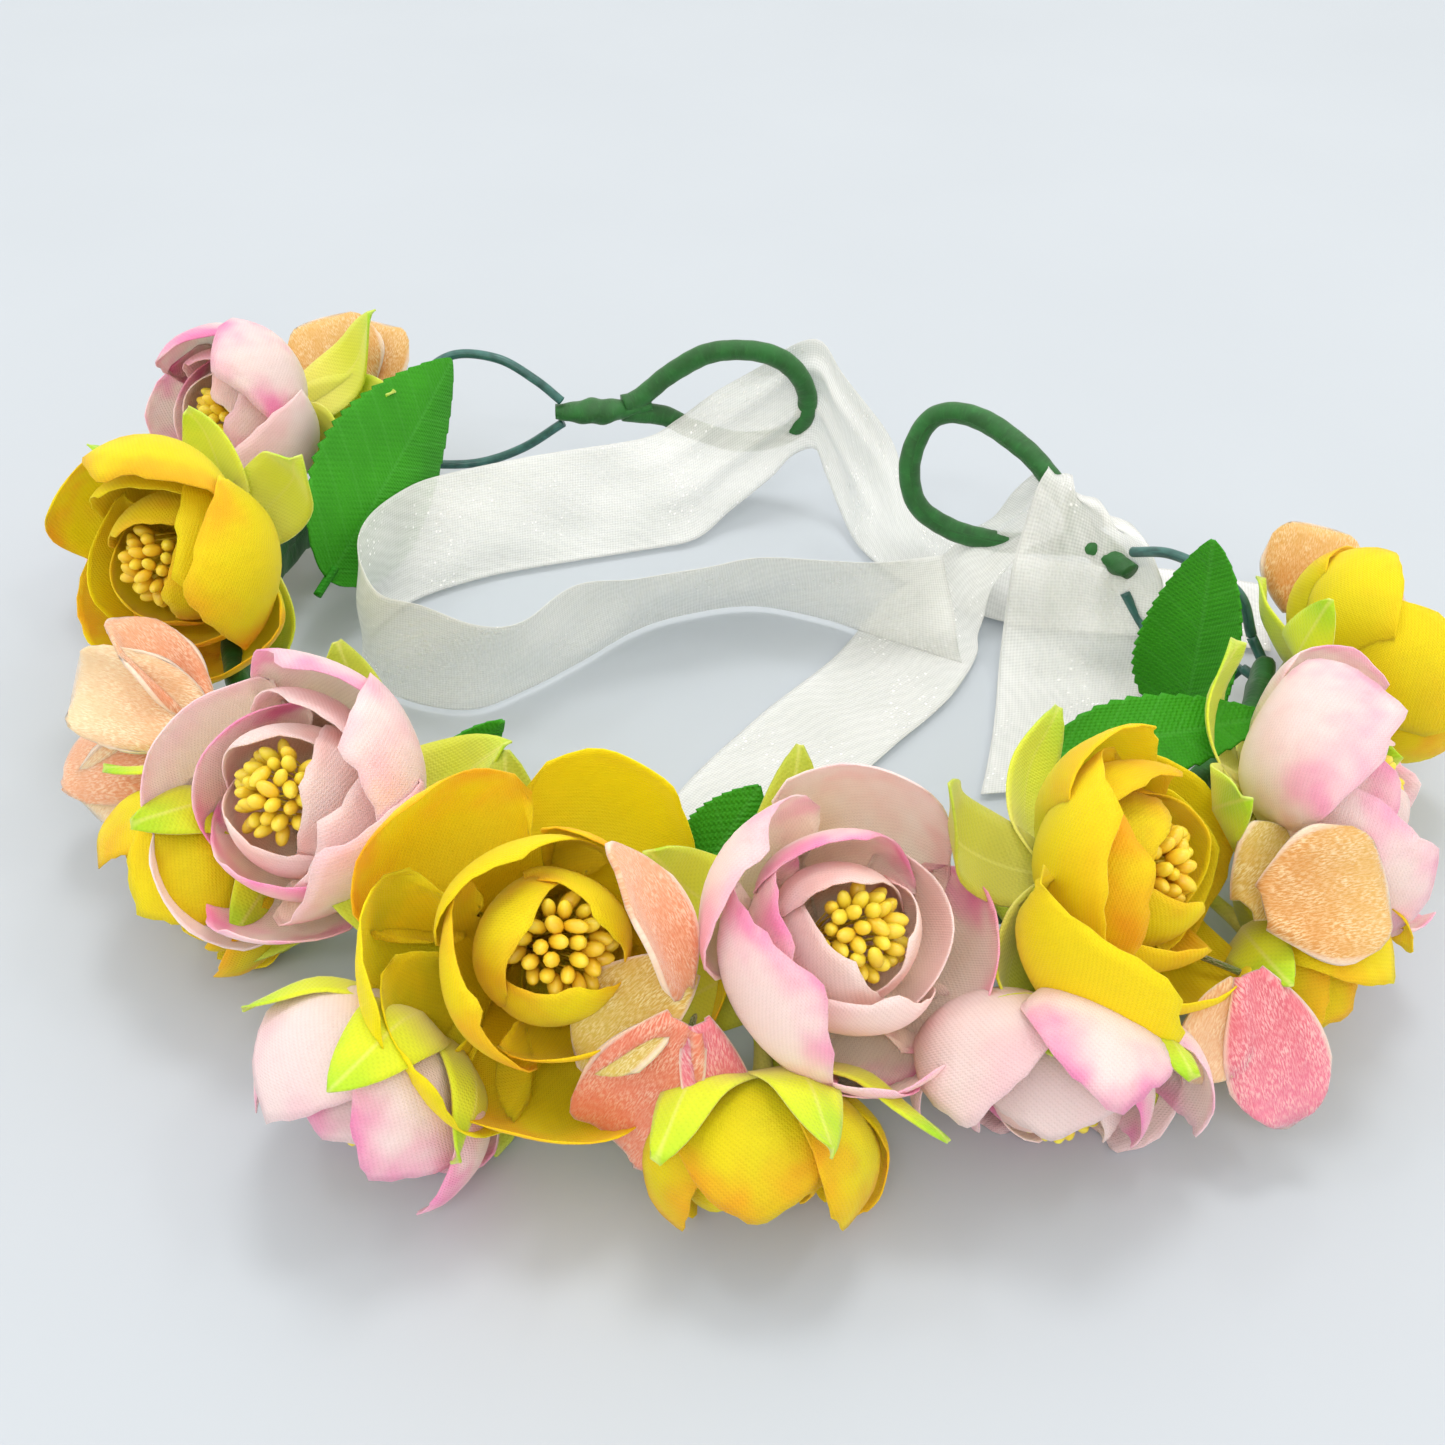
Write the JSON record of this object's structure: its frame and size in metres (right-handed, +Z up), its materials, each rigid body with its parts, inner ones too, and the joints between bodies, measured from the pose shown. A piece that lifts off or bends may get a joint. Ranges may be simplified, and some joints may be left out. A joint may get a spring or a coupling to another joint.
{
  "type": "flower crown",
  "caption": "Open head wreath of fabric ranunculus blooms and velvet blossoms on a taped wire band, with bendable ends that tie behind the head by a sheer ribbon.",
  "frame": {"origin": "middle of the footprint, on the surface that the crown stands on", "axes": "+X to the wearer's side where the short wire end is, -Y towards the forehead, +Z up"},
  "size_m": [0.2628, 0.2102, 0.0591],
  "materials": {
    "pink_petals": "satin-weave polyester, pale pink shaded to rose at the tips and cream at the base",
    "yellow_petals": "satin-weave polyester, lemon to golden orange",
    "stamens": "glossy mustard beads on threads",
    "sepals": "matte woven polyester, lime shading to green tips",
    "velvet": "short-pile velvet, peach, gold and rose",
    "leaves": "ribbed woven polyester, serrated edge",
    "coated_wire": "plastic-coated floral wire, satin",
    "floral_tape": "waxed crepe floral tape, slightly creased",
    "organza": "sheer white organza with a fine sparkle and a satin edge"
  },
  "bodies": {
    "band": {"taped_band": "floral_tape", "left_back_pink_petals": "pink_petals", "left_back_pink_stamens": "stamens", "left_back_pink_calyx": "sepals", "left_yellow_petals": "yellow_petals", "left_yellow_stamens": "stamens", "left_yellow_calyx": "sepals", "left_front_pink_petals": "pink_petals", "left_front_pink_stamens": "stamens", "left_front_pink_calyx": "sepals", "front_left_yellow_petals": "yellow_petals", "front_left_yellow_stamens": "stamens", "front_left_yellow_calyx": "sepals", "front_pink_petals": "pink_petals", "front_pink_stamens": "stamens", "front_pink_calyx": "sepals", "front_right_yellow_petals": "yellow_petals", "front_right_yellow_stamens": "stamens", "front_right_yellow_calyx": "sepals", "right_pink_petals": "pink_petals", "right_pink_stamens": "stamens", "right_pink_calyx": "sepals", "right_back_yellow_petals": "yellow_petals", "right_back_yellow_stamens": "stamens", "right_back_yellow_calyx": "sepals", "low_left_back_pink_petals": "pink_petals", "low_left_back_pink_stamens": "stamens", "low_left_back_pink_calyx": "sepals", "low_left_yellow_petals": "yellow_petals", "low_left_yellow_stamens": "stamens", "low_left_yellow_calyx": "sepals", "low_front_left_pink_petals": "pink_petals", "low_front_left_pink_stamens": "stamens", "low_front_left_pink_calyx": "sepals", "low_front_yellow_petals": "yellow_petals", "low_front_yellow_stamens": "stamens", "low_front_yellow_calyx": "sepals", "low_front_right_pink_petals": "pink_petals", "low_front_right_pink_stamens": "stamens", "low_front_right_pink_calyx": "sepals", "low_right_yellow_petals": "yellow_petals", "low_right_yellow_stamens": "stamens", "low_right_yellow_calyx": "sepals", "left_velvet_blossom": "velvet", "front_velvet_blossom": "velvet", "right_velvet_blossom": "velvet", "left_end_velvet_blossom": "velvet", "right_end_velvet_blossom": "velvet", "left_end_leaf": "leaves", "right_end_leaf": "leaves", "left_ribbon_tail": "organza", "right_ribbon_tail": "organza"},
    "left_end": {"left_upper_wire": "coated_wire", "left_lower_wire": "coated_wire", "left_eyelet": "floral_tape", "left_ribbon_turn": "organza"},
    "right_end": {"right_upper_wire": "coated_wire", "right_lower_wire": "coated_wire", "right_eyelet": "floral_tape", "right_ribbon_turn": "organza"}
  },
  "joints": [
    {"name": "left_end_bend", "type": "hinge", "parent": "band", "child": "left_end", "pos_m": [-0.06953, 0.0784, 0.02509], "axis": [0, 0, 1], "range_deg": [-6, 12]},
    {"name": "right_end_bend", "type": "hinge", "parent": "band", "child": "right_end", "pos_m": [0.09797, 0.0054, 0.02509], "axis": [0, 0, 1], "range_deg": [-12, 10]}
  ]
}
